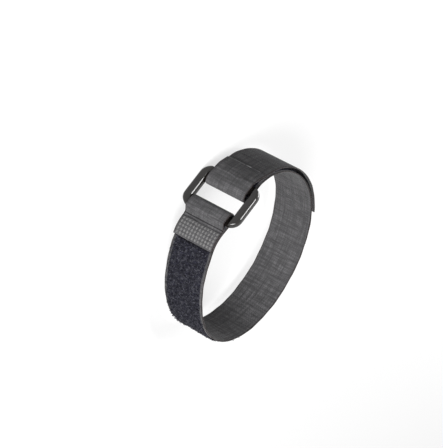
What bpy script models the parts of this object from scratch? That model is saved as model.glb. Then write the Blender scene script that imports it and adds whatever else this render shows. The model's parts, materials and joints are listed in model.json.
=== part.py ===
"""Hook and loop cable tie, closed in a round loop and standing on its side edge.

A strap of loop tape runs once round an open space. Its fixed end is folded round one bar of a
moulded ring and welded to itself, and its other end comes up through the ring, doubles
back over the second bar and ends in a tail of hook tape that lies on the strap's pile.

The frame: +Z is up and is the loop's axis, the ring is at the front (-Y), the welded fold is
on its +X side and the tail runs off on its -X side. The origin is under the middle of the
overall box, on the surface that the tie stands on. Metres throughout.
"""

import math

import bmesh
import bpy
import numpy as np
from mathutils import Matrix, Vector

# Strap
STRAP_WIDTH = 0.01905
STRAP_THICKNESS = 0.0011
LAYER_GAP = 0.0003

# Loop, to the middle of the strap's thickness
LOOP_HALF_WIDTH = 0.0378
LOOP_FRONT_DEPTH = 0.0438
LOOP_BACK_DEPTH = 0.0385
RING_SINK = 0.0041
FIXED_BLEND = 0.0081
TAIL_BLEND = 0.0155
BLEND_SHARE = 0.36

# Ring
RING_OFFSET = -0.0004
RING_LENGTH = 0.0280
RING_WIDTH = 0.0200
RING_THICKNESS = 0.0029
RING_BAR = 0.0040
RING_CORNER_RADIUS = 0.0048
RING_EDGE_RADIUS = 0.0009
RING_SIDE_RISE = 0.0006
RING_RISE_RUN = 0.0010

# Folds over the ring's bars
FOLD_BITE = 0.0010
TAIL_FOLD_SLACK = 0.0017
FOLD_SHOULDER = 0.0004
RAMP_SHARE = 0.36
TAIL_RAMP_SHARE = 0.12

# Waffle weld
WELD_SETBACK = 0.0022
WELD_LENGTH = 0.0088
WELD_SEAM = 0.0001
WELD_SQUEEZE = 0.0004
WELD_STEP_LENGTH = 0.0006
WELD_ROWS = 5
WELD_COLUMNS = 12
PAD_SHARE = 0.66
PAD_HEIGHT = 0.0002
PAD_ROOT = 0.0003
PAD_MARGIN = 0.0006
PAD_END_MARGIN = 0.0005

# Tail
TAIL_LANDING = 0.0080
SEAM_REACH = 0.0165
LAP_LENGTH = 0.0050
LAP_THICKNESS = 0.0005
LAP_RISE = 0.0003
TAIL_LENGTH = 0.0600

# Facets
STRAP_STEP = 0.0026
TURN_STEPS = 10
BLEND_STEPS = 8
CORNER_STEPS = 6
EDGE_STEPS = 3
SHARP_ANGLE = math.radians(50)
SNAP = 0.00001
MERGE_DISTANCE = 0.000002

# Seats that follow from the sizes above, as distances out from the loop's axis
seat_line = LOOP_FRONT_DEPTH - RING_SINK
ring_bottom = seat_line + STRAP_THICKNESS / 2 + LAYER_GAP
ring_top = ring_bottom + RING_THICKNESS
turn_radius = RING_THICKNESS / 2 + LAYER_GAP + STRAP_THICKNESS / 2
over_line = seat_line + 2 * turn_radius
layer_step = STRAP_THICKNESS + LAYER_GAP
weld_step = STRAP_THICKNESS + WELD_SEAM
fixed_edge = RING_OFFSET + RING_WIDTH / 2
tail_edge = RING_OFFSET - RING_WIDTH / 2
seam_line = math.pi * turn_radius / 2 + SEAM_REACH

# Overall box, which sets the origin
box_right = LOOP_HALF_WIDTH + STRAP_THICKNESS / 2
box_left = box_right + layer_step
box_front = over_line + STRAP_THICKNESS / 2
box_back = LOOP_BACK_DEPTH + STRAP_THICKNESS / 2
LOOP_CENTRE = Vector(((box_left - box_right) / 2, (box_front - box_back) / 2, RING_LENGTH / 2))


def clear_scene():
    """Remove every object, so that the script can run again in an open file."""
    for old in list(bpy.data.objects):
        bpy.data.objects.remove(old, do_unlink=True)


def make_collection(name):
    """Return a new collection linked under the scene."""
    group = bpy.data.collections.new(name)
    bpy.context.scene.collection.children.link(group)
    return group


def make_material(name, colour, roughness, metallic=0.0):
    """Return a plain Principled material."""
    material = bpy.data.materials.new(name)
    material.use_nodes = True
    shader = material.node_tree.nodes["Principled BSDF"]
    shader.inputs["Base Color"].default_value = (*colour, 1.0)
    shader.inputs["Roughness"].default_value = roughness
    shader.inputs["Metallic"].default_value = metallic
    material.diffuse_color = (*colour, 1.0)
    return material


def bezier(start, start_way, end, end_way, share, steps):
    """Points of a cubic from start to end, leaving and arriving along the given ways."""
    reach = share * np.linalg.norm(end - start)
    first = start + reach * start_way
    last = end - reach * end_way
    t = np.linspace(0.0, 1.0, steps + 1)[:, None]
    return (1 - t) ** 3 * start + 3 * (1 - t) ** 2 * t * first + 3 * (1 - t) * t ** 2 * last + t ** 3 * end


def join_runs(*runs):
    """Chain point runs into one path, dropping points that repeat."""
    path = np.concatenate(runs)
    keep = np.ones(len(path), bool)
    keep[1:] = np.linalg.norm(np.diff(path, axis=0), axis=1) > MERGE_DISTANCE
    return path[keep]


def lengths_along(path):
    """Distance along a path at each of its points."""
    return np.concatenate([[0.0], np.cumsum(np.linalg.norm(np.diff(path, axis=0), axis=1))])


def ways_along(path):
    """Unit direction at each point of a path."""
    way = np.gradient(path, lengths_along(path), axis=0)
    return way / np.linalg.norm(way, axis=1)[:, None]


def left_of(way):
    """Unit direction a quarter turn to the left of a way."""
    return np.stack([-way[..., 1], way[..., 0]], axis=-1)


def read_path(path, distances):
    """Points and directions of a path at the given distances along it."""
    along = lengths_along(path)
    way = ways_along(path)
    points = np.stack([np.interp(distances, along, path[:, k]) for k in (0, 1)], axis=-1)
    turned = np.stack([np.interp(distances, along, way[:, k]) for k in (0, 1)], axis=-1)
    return points, turned / np.linalg.norm(turned, axis=-1)[..., None]


def spaced(start, end, step):
    """Even distances from start to end, at most one step apart."""
    return np.linspace(start, end, max(2, math.ceil(abs(end - start) / step) + 1))


def loop_depth(angle):
    """Half depth of the loop: the front half is deeper than the back half."""
    return np.where(np.sin(angle) < 0, LOOP_FRONT_DEPTH, LOOP_BACK_DEPTH)


def ellipse_point(angle):
    """Point on the loop's middle line at an angle from +X."""
    return np.stack([LOOP_HALF_WIDTH * np.cos(angle), loop_depth(angle) * np.sin(angle)], axis=-1)


def ellipse_way(angle):
    """Direction of the loop's middle line, counterclockwise, at an angle."""
    way = np.stack([-LOOP_HALF_WIDTH * np.sin(angle), loop_depth(angle) * np.cos(angle)], axis=-1)
    return way / np.linalg.norm(way, axis=-1)[..., None]


def front_angle(x):
    """Angle of the front half of the loop at a given x."""
    return -math.acos(x / LOOP_HALF_WIDTH)


def base_path():
    """The strap's middle line once round, from under the fixed bar to under the tail bar.

    It is flat under the ring, half an ellipse in front and another behind, and a cubic on
    each side of the ring joins the flat to the front half.
    """
    right = np.array([1.0, 0.0])
    fixed_turn = fixed_edge - RING_BAR + FOLD_BITE
    tail_turn = tail_edge + RING_BAR - FOLD_BITE + TAIL_FOLD_SLACK
    flat_from = np.array([fixed_turn, -seat_line])
    flat_to = np.array([fixed_edge + FOLD_SHOULDER, -seat_line])
    back_from = np.array([tail_edge - FOLD_SHOULDER, -seat_line])
    back_to = np.array([tail_turn, -seat_line])
    leave = front_angle(flat_to[0] + FIXED_BLEND)
    arrive = front_angle(back_from[0] - TAIL_BLEND) + 2 * math.pi
    round_steps = math.ceil((arrive - leave) * LOOP_HALF_WIDTH / STRAP_STEP)
    angles = np.linspace(leave, arrive, round_steps + 1)
    out = bezier(flat_to, right, ellipse_point(leave), ellipse_way(leave), BLEND_SHARE, BLEND_STEPS)
    back = bezier(ellipse_point(arrive), ellipse_way(arrive), back_from, right, BLEND_SHARE, BLEND_STEPS)
    return join_runs(flat_from[None], out, ellipse_point(angles), back, back_to[None])


def turn_points(x, first_angle):
    """Half circle round a bar's edge, clockwise from first_angle, centred at x."""
    angles = first_angle - np.linspace(0.0, math.pi, TURN_STEPS + 1)
    middle = np.array([x, -(seat_line + turn_radius)])
    return middle + turn_radius * np.stack([np.cos(angles), np.sin(angles)], axis=-1)


def weld_start(base):
    """Distance along the base path from under the fixed bar to the weld's near end."""
    return fixed_edge - base[0, 0] + WELD_SETBACK


def fixed_fold(base):
    """Middle line of the welded layer and its fold, from the weld's far end to under the bar.

    Returns the path and how many of its points lie in the weld.
    """
    start = weld_start(base)
    weld = spaced(start + WELD_LENGTH, start, STRAP_STEP)
    points, way = read_path(base, weld)
    weld_line = points - left_of(way) * weld_step
    shoulder = np.array([fixed_edge + FOLD_SHOULDER - RING_EDGE_RADIUS, -over_line])
    ramp = bezier(weld_line[-1], -way[-1], shoulder, np.array([-1.0, 0.0]), RAMP_SHARE, BLEND_STEPS)
    turn = turn_points(base[0, 0], -math.pi / 2)
    return join_runs(weld_line, ramp, turn), len(weld_line)


def tail_path(base):
    """Middle line of the tail layer, from under the tail bar, round it and out to the tail's end."""
    whole = lengths_along(base)[-1]
    landing = whole - (base[-1, 0] - tail_edge) - TAIL_LANDING
    turn = turn_points(base[-1, 0], math.pi / 2)
    shoulder = np.array([tail_edge - FOLD_SHOULDER + RING_EDGE_RADIUS, -over_line])
    lying, way = read_path(base, spaced(landing, landing - TAIL_LENGTH, STRAP_STEP))
    lying = lying - left_of(way) * layer_step
    ramp = bezier(shoulder, np.array([-1.0, 0.0]), lying[0], -way[0], TAIL_RAMP_SHARE, BLEND_STEPS)
    return join_runs(turn, ramp, lying)


def add_outline(name, outlines, collection, material):
    """Extrude closed outlines over the strap's width into one closed mesh."""
    curve = bpy.data.curves.new(name, "CURVE")
    curve.dimensions = "2D"
    curve.fill_mode = "BOTH"
    curve.extrude = STRAP_WIDTH / 2
    for outline in outlines:
        spline = curve.splines.new("POLY")
        spline.points.add(len(outline) - 1)
        for point, (x, y) in zip(spline.points, outline):
            point.co = (x, y, 0.0, 1.0)
        spline.use_cyclic_u = True
    guide = bpy.data.objects.new(name + "_outline", curve)
    bpy.context.scene.collection.objects.link(guide)
    guide.location = LOOP_CENTRE
    return curve_to_mesh(guide, name, collection, material)


def curve_to_mesh(guide, name, collection, material):
    """Turn a curve object into a mesh object with its caps welded, and remove the curve."""
    bpy.context.view_layer.update()
    evaluated = guide.evaluated_get(bpy.context.evaluated_depsgraph_get())
    mesh = bpy.data.meshes.new_from_object(evaluated)
    mesh.name = name
    work = bmesh.new()
    work.from_mesh(mesh)
    bmesh.ops.remove_doubles(work, verts=work.verts, dist=MERGE_DISTANCE)
    bmesh.ops.recalc_face_normals(work, faces=work.faces)
    work.to_mesh(mesh)
    work.free()
    mesh.materials.clear()
    mesh.materials.append(material)
    made = bpy.data.objects.new(name, mesh)
    made.matrix_world = guide.matrix_world.copy()
    collection.objects.link(made)
    bpy.data.objects.remove(guide, do_unlink=True)
    return made


def rounded_outline(length, width, radius, steps):
    """Corner-rounded rectangle, length along Y and width along X, counterclockwise."""
    points = []
    for quarter, (sx, sy) in enumerate(((1, 1), (-1, 1), (-1, -1), (1, -1))):
        for k in range(steps + 1):
            angle = math.pi / 2 * (quarter + k / steps)
            x = sx * (width / 2 - radius) + radius * math.cos(angle)
            y = sy * (length / 2 - radius) + radius * math.sin(angle)
            points.append((x, y))
    return points


def closed_spline(name, points):
    """2D closed curve object through the given points."""
    curve = bpy.data.curves.new(name, "CURVE")
    spline = curve.splines.new("POLY")
    spline.points.add(len(points) - 1)
    for point, (x, y) in zip(spline.points, points):
        point.co = (x, y, 0.0, 1.0)
    spline.use_cyclic_u = True
    made = bpy.data.objects.new(name, curve)
    bpy.context.scene.collection.objects.link(made)
    return made


def raise_side_bars(ring):
    """Lift the outer face of the ring's side bars above its cross bars.

    The lift is a smooth step of the distance from the strap's middle. It starts a gap beside the
    strap, or where the ring's corner starts if that is farther out, so that the straight cross
    bars stay low under the strap. In the ring's own axes, y runs along the ring's length and z
    out of its face.
    """
    start = max(STRAP_WIDTH / 2 + LAYER_GAP, RING_LENGTH / 2 - RING_CORNER_RADIUS)
    for vertex in ring.data.vertices:
        share = min(max((abs(vertex.co.y) - start) / RING_RISE_RUN, 0.0), 1.0)
        if vertex.co.z > 0:
            vertex.co.z += RING_SIDE_RISE * share * share * (3 - 2 * share)


def build_ring(collection, material):
    """The moulded ring: a rounded bar section carried round a rounded rectangle."""
    centre_line = rounded_outline(RING_LENGTH - RING_BAR, RING_WIDTH - RING_BAR,
                                  RING_CORNER_RADIUS - RING_BAR / 2, CORNER_STEPS)
    section = closed_spline("ring_section",
                            rounded_outline(RING_THICKNESS, RING_BAR, RING_EDGE_RADIUS, EDGE_STEPS))
    path = closed_spline("ring_path", centre_line)
    path.data.dimensions = "2D"
    path.data.fill_mode = "NONE"
    path.data.bevel_mode = "OBJECT"
    path.data.bevel_object = section
    path.rotation_euler = (math.pi / 2, 0.0, 0.0)
    path.location = LOOP_CENTRE + Vector((RING_OFFSET, -(ring_bottom + ring_top) / 2, 0.0))
    ring = curve_to_mesh(path, "cinch_ring", collection, material)
    bpy.data.objects.remove(section, do_unlink=True)
    raise_side_bars(ring)
    ring.data.shade_smooth()
    ring.data.set_sharp_from_angle(angle=SHARP_ANGLE)
    return ring


def build_loop_strap(base, collection, cutters, material):
    """The loop tape: welded end, fixed fold, once round the loop, and up over the tail bar.

    Its back face lies to the left of its path and its pile face to the right. The eye that
    holds the fixed bar is a hole in the outline, between the weld and the fold. Towards the
    seam the tape thins and rises over the hook tape's lap, and the weld is squeezed thinner.
    """
    fold, weld_count = fixed_fold(base)
    line = join_runs(fold, base, tail_path(base))
    along = lengths_along(line)
    weld_near = along[len(fold) - 1] + weld_start(base)
    weld_far = weld_near + WELD_LENGTH
    weld_end = along[weld_count - 1]
    weld_clear = weld_end + WELD_STEP_LENGTH
    seam = lengths_along(join_runs(fold, base))[-1] + seam_line
    lap = seam - LAP_LENGTH
    slope = lap - LAP_LENGTH / 2
    stops = np.union1d(along[along < seam - SNAP], [weld_clear, slope, lap, seam])
    middle, way = read_path(line, stops)
    lift = np.interp(stops, [slope, lap], [0.0, 1.0])
    squeeze = np.interp(stops, [weld_end, weld_clear], [1.0, 0.0])
    back = STRAP_THICKNESS / 2 + LAP_RISE * lift - WELD_SQUEEZE * squeeze
    pile = -STRAP_THICKNESS / 2 + (LAP_THICKNESS + LAYER_GAP) * lift
    left = left_of(way)
    back_face = middle + left * back[:, None]
    pile_face = middle + left * pile[:, None]
    eye = (stops > weld_end - SNAP) & (stops < weld_near + SNAP)
    outer = stops > weld_far - SNAP
    outline = np.concatenate([back_face, pile_face[outer][::-1]])
    strap = add_outline("loop_strap", [outline, pile_face[eye]], collection, material)
    add_weld_pads(strap, base, cutters)
    return strap


def add_weld_pads(strap, base, cutters):
    """Union a waffle of small raised pads onto the welded layer."""
    row_pitch = (WELD_LENGTH - PAD_MARGIN - PAD_END_MARGIN) / WELD_ROWS
    column_pitch = (STRAP_WIDTH - 2 * PAD_MARGIN) / WELD_COLUMNS
    distances = weld_start(base) + PAD_MARGIN + row_pitch * (np.arange(WELD_ROWS) + 0.5)
    points, ways = read_path(base, distances)
    outward = -left_of(ways)
    surface = weld_step + STRAP_THICKNESS / 2 - WELD_SQUEEZE
    work = bmesh.new()
    for point, way, out in zip(points, ways, outward):
        middle = point + out * (surface + (PAD_HEIGHT - PAD_ROOT) / 2)
        turn = Matrix(((way[0], out[0], 0.0), (way[1], out[1], 0.0), (0.0, 0.0, 1.0))).to_4x4()
        size = Matrix.Diagonal((row_pitch * PAD_SHARE, PAD_HEIGHT + PAD_ROOT, column_pitch * PAD_SHARE, 1.0))
        for column in range(WELD_COLUMNS):
            z = column_pitch * (column - (WELD_COLUMNS - 1) / 2)
            place = Matrix.Translation((middle[0], middle[1], z))
            bmesh.ops.create_cube(work, size=1.0, matrix=place @ turn @ size)
    bmesh.ops.recalc_face_normals(work, faces=work.faces)
    mesh = bpy.data.meshes.new("weld_pads")
    work.to_mesh(mesh)
    work.free()
    pads = bpy.data.objects.new("weld_pads", mesh)
    pads.location = LOOP_CENTRE
    pads.hide_render = True
    pads.display_type = "WIRE"
    cutters.objects.link(pads)
    union = strap.modifiers.new("weld_pads", "BOOLEAN")
    union.operation = "UNION"
    union.solver = "EXACT"
    union.object = pads


def build_hook_tail(base, collection, material):
    """The hook tape, from its thinned lap under the loop tape's end to the tail's end."""
    tail = tail_path(base)
    along = lengths_along(tail)
    lap = seam_line - LAP_LENGTH + LAYER_GAP
    clear = seam_line + LAYER_GAP
    inner = along[(along > lap + SNAP) & (along < along[-1] - SNAP)]
    stops = np.union1d(inner, [lap, clear, clear + LAYER_GAP, along[-1]])
    middle, way = read_path(tail, stops)
    rise = np.interp(stops, [clear, clear + LAYER_GAP], [0.0, 1.0])
    back = LAP_THICKNESS - STRAP_THICKNESS / 2 + (STRAP_THICKNESS - LAP_THICKNESS) * rise
    left = left_of(way)
    back_face = middle + left * back[:, None]
    hook_face = middle - left * STRAP_THICKNESS / 2
    return add_outline("hook_tail", [np.concatenate([back_face, hook_face[::-1]])], collection, material)


def main():
    clear_scene()
    parts = make_collection("hook_and_loop_cable_tie")
    cutters = make_collection("cutters")
    cutters.hide_render = True
    ring_plastic = make_material("ring_plastic", (0.035, 0.034, 0.034), 0.38)
    loop_tape = make_material("loop_tape", (0.075, 0.075, 0.085), 0.9)
    hook_tape = make_material("hook_tape", (0.060, 0.060, 0.065), 0.75)
    base = base_path()
    build_ring(parts, ring_plastic)
    build_loop_strap(base, parts, cutters, loop_tape)
    build_hook_tail(base, parts, hook_tape)


main()
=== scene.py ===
"""Finished look of a hook and loop cable tie, closed in a loop and standing on its side edge.

A woven loop tape runs once round an open space, with pile on its outer face. One end is
folded round a bar of the moulded ring and welded down in a waffle pattern. The other end is
carried over the second bar and lapped onto a hook tape, whose hooks hold the pile.
"""

import json
import math

import bpy
import numpy as np
from bpy.props import FloatProperty, FloatVectorProperty, IntProperty, PointerProperty
from mathutils import Matrix, Vector

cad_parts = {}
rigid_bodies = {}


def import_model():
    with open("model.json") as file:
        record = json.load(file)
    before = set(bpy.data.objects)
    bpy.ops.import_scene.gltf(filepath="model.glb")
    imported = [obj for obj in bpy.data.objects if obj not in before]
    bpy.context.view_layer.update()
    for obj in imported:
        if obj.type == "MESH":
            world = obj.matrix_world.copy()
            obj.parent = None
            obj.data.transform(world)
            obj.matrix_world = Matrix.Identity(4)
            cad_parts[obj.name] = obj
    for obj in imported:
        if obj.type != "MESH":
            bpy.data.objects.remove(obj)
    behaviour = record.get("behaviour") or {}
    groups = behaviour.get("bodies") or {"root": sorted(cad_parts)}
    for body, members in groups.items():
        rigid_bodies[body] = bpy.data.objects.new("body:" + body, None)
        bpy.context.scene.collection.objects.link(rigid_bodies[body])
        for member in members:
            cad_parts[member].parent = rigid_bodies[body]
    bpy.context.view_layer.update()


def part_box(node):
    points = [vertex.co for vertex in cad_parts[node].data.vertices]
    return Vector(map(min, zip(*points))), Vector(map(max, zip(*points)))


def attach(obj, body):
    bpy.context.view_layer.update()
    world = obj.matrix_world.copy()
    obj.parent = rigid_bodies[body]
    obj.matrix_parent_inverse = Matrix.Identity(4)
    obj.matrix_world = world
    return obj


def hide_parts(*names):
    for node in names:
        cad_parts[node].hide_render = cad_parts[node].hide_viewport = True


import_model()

bl_info = {
    "name": "Cable Tie Finish",
    "version": (1, 0, 0),
    "blender": (4, 5, 0),
    "location": "View3D > Sidebar > Cable Tie",
    "description": "Woven tapes, pile, hooks and moulded ring of a hook and loop cable tie",
    "category": "Object",
}

RING_LOW, RING_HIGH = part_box("cinch_ring")
STRAP_LOW, STRAP_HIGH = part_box("loop_strap")
TAPE_HALF_WIDTH = (STRAP_HIGH[2] - STRAP_LOW[2]) / 2
PLACE = "tape_place"
# Name of the point attribute that carries painted shade on the tapes and the waffle
SHADE = "painted_tape_shade"
MAX_PIECE_TRIANGLES = 190000

# Sizes that more than one piece uses, in metres, and the loop's centre
LOOP_HALF_WIDTH = 0.0378
LOOP_BACK_DEPTH = 0.0385
TAPE_THICKNESS = 0.0011
RING_BAR = 0.0040
RING_EDGE_RADIUS = 0.0009
RING_SIDE_RISE = 0.0006
LOOP_CENTRE = np.array([STRAP_HIGH[0] - LOOP_HALF_WIDTH - TAPE_THICKNESS / 2,
                        STRAP_HIGH[1] - LOOP_BACK_DEPTH - TAPE_THICKNESS / 2,
                        (RING_LOW[2] + RING_HIGH[2]) / 2])

# Steps of the strap's line, the tapes and the ring, and how much of the flat width has a mat
LINE_STEP = 0.0001
STATIONS_PER_RIB = 4.5
MAT_SHARE = 0.87
RING_SECTION_STEPS = 10
RING_CORNER_STEPS = 17
STRAIGHT_STATIONS = (0.02, 0.25, 0.5, 0.75, 0.98)
FLAT_HEIGHT = 0.000001

# The ring's roughness and what its bloom adds, the tapes' painted shade and the floor's own light
RING_GLOSS = 0.09
RING_GLOSS_SPREAD = 0.08
PAINTED_SHADE_COLOUR = (0.004, 0.0035, 0.004)
PAINTED_SHADE_STRENGTH = 0.75
FLOOR_GLOW = 0.7

# The tapes' small irregularities in metres: edges, the tail's sag, the creases as places with
# strengths for their dent and painted shade, the pile squeezed in the weld, the painted shadow
# past the weld and the pits between the waffle's pads
EDGE_WANDER = 0.00006
WANDER_RUNS = (0.0031, 0.0013)
SAG_RUN = 0.0022
CREASES = ((-0.00032, 0.6), (0.0008, 1.0))
CREASE_RUN = 0.0002
WELD_MAT = 0.00010
UNDER_WELD_MAT = 0.00030
UNDER_WELD_RUN = 0.001
WELD_SHADOW_PLACE = 0.0004
WELD_SHADOW_RUN = 0.0006
PAD_PIT = 0.00007

# The waffle's grid steps for each pad and the stretch of each cosine that a pad's flank takes
PAD_STEPS = (10, 9)
PAD_FLANK_ALONG = (-0.98, 0.1)
PAD_FLANK_ACROSS = (-0.4, 0.9)

# The pile: loops for each square metre, bare lengths at the ends of its three fields, how deep
# a loop's root sits in the mat, how far a tuft spreads and how far a loop's ends part
SHOWN_DENSITY = 4.7e6
HIDDEN_DENSITY = 1.6e6
WELD_CLEAR = 0.0012
FOLD_CLEAR = 0.001
COVER_START = 0.002
PILE_ROOT = 0.00006
TUFT_SPREAD = 0.00007
COIL_PITCH = 0.22

# The hook tape's ground and mat as shares of the loop tape's, its step at the lap, the bare
# lengths at its ends, and a hook's bend and curl
HOOK_GROUND_SHARE = 0.9
HOOK_MAT_SHARE = 0.5
LAP_STEP = 0.0002
HOOK_CLEAR = 0.001
HOOK_END = 0.0008
HOOK_BEND_SHARE = 0.3
HOOK_CURL = 3.6

# The seam's bead
BEAD_RADIUS = 0.00008
BEAD_SWELL = 0.00014
BEAD_SINK = 0.00002
BEAD_SETBACK = 0.00005
BEAD_WANDER = 0.00006
BEAD_SWELL_RUN = 0.0007
BEAD_WANDER_RUN = 0.0011

# Each lamp's offset from the loop's centre, its size and the stage's value for its level
LAMPS = (("key_light", (0.41, -0.325, 0.30), (0.28, 0.40), "key"),
         ("top_light", (-0.18, -0.245, 0.494), (0.06, 0.40), "top"),
         ("rim_light", (-0.50, 0.30, 0.22), (0.30, 0.30), "rim"))


def length_prop(name, description, default):
    """A length property in metres."""
    return FloatProperty(name=name, description=description, default=default, unit="LENGTH", precision=5)


def colour_prop(name, description, default):
    """A linear colour property."""
    return FloatVectorProperty(name=name, description=description, default=default,
                               subtype="COLOR", size=3, min=0.0, max=1.0)


class TieLoopShape(bpy.types.PropertyGroup):
    """Sizes of the strap's route, as the solids have them."""

    half_width: length_prop("Half width", "Loop's half width to the middle of the tape", LOOP_HALF_WIDTH)
    front_depth: length_prop("Front depth", "Depth of the loop's front half", 0.0438)
    back_depth: length_prop("Back depth", "Depth of the loop's back half", LOOP_BACK_DEPTH)
    fixed_blend: length_prop("Fixed blend", "Run from the ring to the front curve, welded side", 0.0081)
    tail_blend: length_prop("Tail blend", "Run from the ring to the front curve, tail side", 0.0155)
    blend_share: FloatProperty(name="Blend share", description="Reach of a blend's handles", default=0.36)
    ramp_share: FloatProperty(name="Ramp share", description="Reach of the fold's ramp handles",
                              default=0.36)
    tail_share: FloatProperty(name="Tail share", description="Reach of the tail's ramp handles",
                              default=0.12)
    fold_bite: length_prop("Fold bite", "How far a fold's centre lies inside its bar", 0.0010)
    tail_slack: length_prop("Tail slack", "Extra room in the fold over the tail bar", 0.0017)
    shoulder: length_prop("Shoulder", "Straight run past the ring's edge", 0.0004)
    weld_setback: length_prop("Weld setback", "Gap from the ring's edge to the weld", 0.0022)
    weld_length: length_prop("Weld length", "Length of the waffle weld", 0.0088)
    weld_seam: length_prop("Weld seam", "Gap between the welded layers", 0.0001)
    landing: length_prop("Landing", "Run from the ring to where the tail lies down", 0.0080)
    seam_reach: length_prop("Seam reach", "From the top of the tail's fold to the lapped seam", 0.0165)
    tail_length: length_prop("Tail length", "Tail past its landing", 0.0600)


class TieTapeSizes(bpy.types.PropertyGroup):
    """Sizes of the two tapes and what stands on them."""

    thickness: length_prop("Thickness", "Tape with its pile or hooks", TAPE_THICKNESS)
    layer_gap: length_prop("Layer gap", "Gap between layers", 0.0003)
    ground: length_prop("Ground", "Woven ground without pile", 0.0005)
    mat: length_prop("Pile mat", "Packed roots of the pile", 0.00025)
    selvage: length_prop("Selvage", "Bare band along each edge", 0.0009)
    rib_pitch: length_prop("Rib pitch", "Distance between the weave's cross ribs", 0.00062)
    rib_height: length_prop("Rib height", "Half height of a cross rib", 0.00005)
    warp_pitch: length_prop("Warp pitch", "Distance between lengthwise threads", 0.00052)
    weld_squeeze: length_prop("Weld squeeze", "How much thinner the welded layer is", 0.0004)
    weld_step: length_prop("Weld step", "Run over which the weld's squeeze ends", 0.0006)
    lap_length: length_prop("Lap length", "Overlap of the two tapes", 0.0050)
    lap_thickness: length_prop("Lap thickness", "Hook tape in the lap", 0.0005)
    sag: length_prop("Sag", "Drop of the tail's lower edge past its bar", 0.0005)
    lap_rise: length_prop("Lap rise", "How far the loop tape rises over the lap", 0.0003)
    pad_rows: IntProperty(name="Pad rows", description="Waffle pads along the weld", default=5)
    pad_columns: IntProperty(name="Pad columns", description="Waffle pads across the weld", default=12)
    pad_height: length_prop("Pad height", "Height of a waffle pad", 0.0002)
    pad_margin: length_prop("Pad margin", "Plain border at the weld's start and sides", 0.0006)
    pad_end: length_prop("Pad end", "Plain border at the tape's cut end", 0.0005)
    crease_depth: length_prop("Crease depth", "Pressed lines where the weld starts", 0.0002)
    loop_radius: length_prop("Pile loop radius", "Radius of a pile loop", 0.00036)
    loop_fibre: length_prop("Pile fibre", "Radius of a pile loop's fibre", 0.00005)
    tuft: IntProperty(name="Tuft", description="Loops that lie side by side", default=5)
    hook_height: length_prop("Hook height", "Height of a hook", 0.00072)
    hook_fibre: length_prop("Hook thickness", "Radius of a hook's stem", 0.00007)
    hook_pitch: length_prop("Hook pitch", "Distance between hooks", 0.0011)


class TieRingSizes(bpy.types.PropertyGroup):
    """Sizes of the moulded ring that its box doesn't give."""

    bar: length_prop("Bar", "Width of the ring's bars", RING_BAR)
    corner_radius: length_prop("Corner radius", "Outer corners", 0.0048)
    side_rise: length_prop("Side rise", "How far the side bars stand above the cross bars", RING_SIDE_RISE)
    rise_run: length_prop("Rise run", "Run over which the side bars rise", 0.0010)
    squareness: FloatProperty(name="Squareness", description="Power of the bar's superellipse section",
                              default=2.9)


class TieColours(bpy.types.PropertyGroup):
    """Linear colours of the finishes."""

    weave: colour_prop("Weave", "Raised threads of the woven back", (0.130, 0.128, 0.132))
    # The weave shade is painted shade for the hollows of the woven back, and the waffle's pits take it too
    weave_shade: colour_prop("Weave shade", "Hollows of the woven back", (0.046, 0.044, 0.048))
    weld: colour_prop("Weld", "Polished tops of the waffle pads", (0.19, 0.188, 0.186))
    selvage: colour_prop("Selvage", "Bare band beside the pile", (0.046, 0.036, 0.037))
    edge: colour_prop("Edge", "Thickness of the tape at its edges", (0.022, 0.016, 0.015))
    mat: colour_prop("Pile mat", "Roots of the pile", (0.007, 0.007, 0.010))
    fibre: colour_prop("Pile fibre", "Pile loops in shade", (0.017, 0.017, 0.024))
    glint: colour_prop("Pile glint", "Pile loops that catch the light", (0.125, 0.125, 0.148))
    hook: colour_prop("Hook", "Moulded hooks", (0.030, 0.026, 0.026))
    ring: colour_prop("Ring", "Moulded ring", (0.0055, 0.0045, 0.0042))
    ring_bloom: colour_prop("Ring bloom", "Dusty bloom on the ring", (0.012, 0.0095, 0.008))
    seam: colour_prop("Seam", "Melted edge of the lapped seam", (0.30, 0.30, 0.31))
    floor: colour_prop("Floor", "Floor", (0.22, 0.22, 0.22))


class TieStage(bpy.types.PropertyGroup):
    """Camera and light."""

    azimuth: FloatProperty(name="Azimuth", description="Camera round the loop's axis",
                           default=math.radians(19.96), subtype="ANGLE")
    elevation: FloatProperty(name="Elevation", description="Camera above the floor",
                             default=math.radians(24.97), subtype="ANGLE")
    roll: FloatProperty(name="Roll", description="Camera turned about its view",
                        default=math.radians(118.14), subtype="ANGLE")
    distance: length_prop("Distance", "Camera to the loop's centre", 0.7175)
    lens: FloatProperty(name="Lens", description="Focal length in millimetres", default=139.24)
    aim_left: length_prop("Aim left", "Aim point left of the loop's centre", 0.00796)
    aim_up: length_prop("Aim up", "Aim point above the loop's centre", 0.01068)
    key: FloatProperty(name="Key", description="Level of the main lamp", default=1.6)
    top: FloatProperty(name="Top", description="Level of the strip lamp overhead", default=0.45)
    rim: FloatProperty(name="Rim", description="Level of the lamp behind the tail", default=0.7)
    sky: FloatProperty(name="Sky", description="Level of the world", default=0.05)
    floor_size: length_prop("Floor size", "Side of the floor", 8.0)


# The strap's route

def unit(vectors):
    """Vectors divided by their lengths."""
    return vectors / np.linalg.norm(vectors, axis=-1, keepdims=True)


def left_of(way):
    """A quarter turn to the left of each plane direction."""
    return np.stack([-way[..., 1], way[..., 0]], axis=-1)


def cubic(start, start_way, end, end_way, share):
    """Points of a cubic whose handles reach a share of the chord along the two ways."""
    chord = np.linalg.norm(end - start)
    first = start + share * chord * start_way
    last = end - share * chord * end_way
    t = np.linspace(0.0, 1.0, max(4, math.ceil(chord / LINE_STEP)))[:, None]
    return (1 - t) ** 3 * start + 3 * (1 - t) ** 2 * t * first + 3 * (1 - t) * t ** 2 * last + t ** 3 * end


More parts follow.
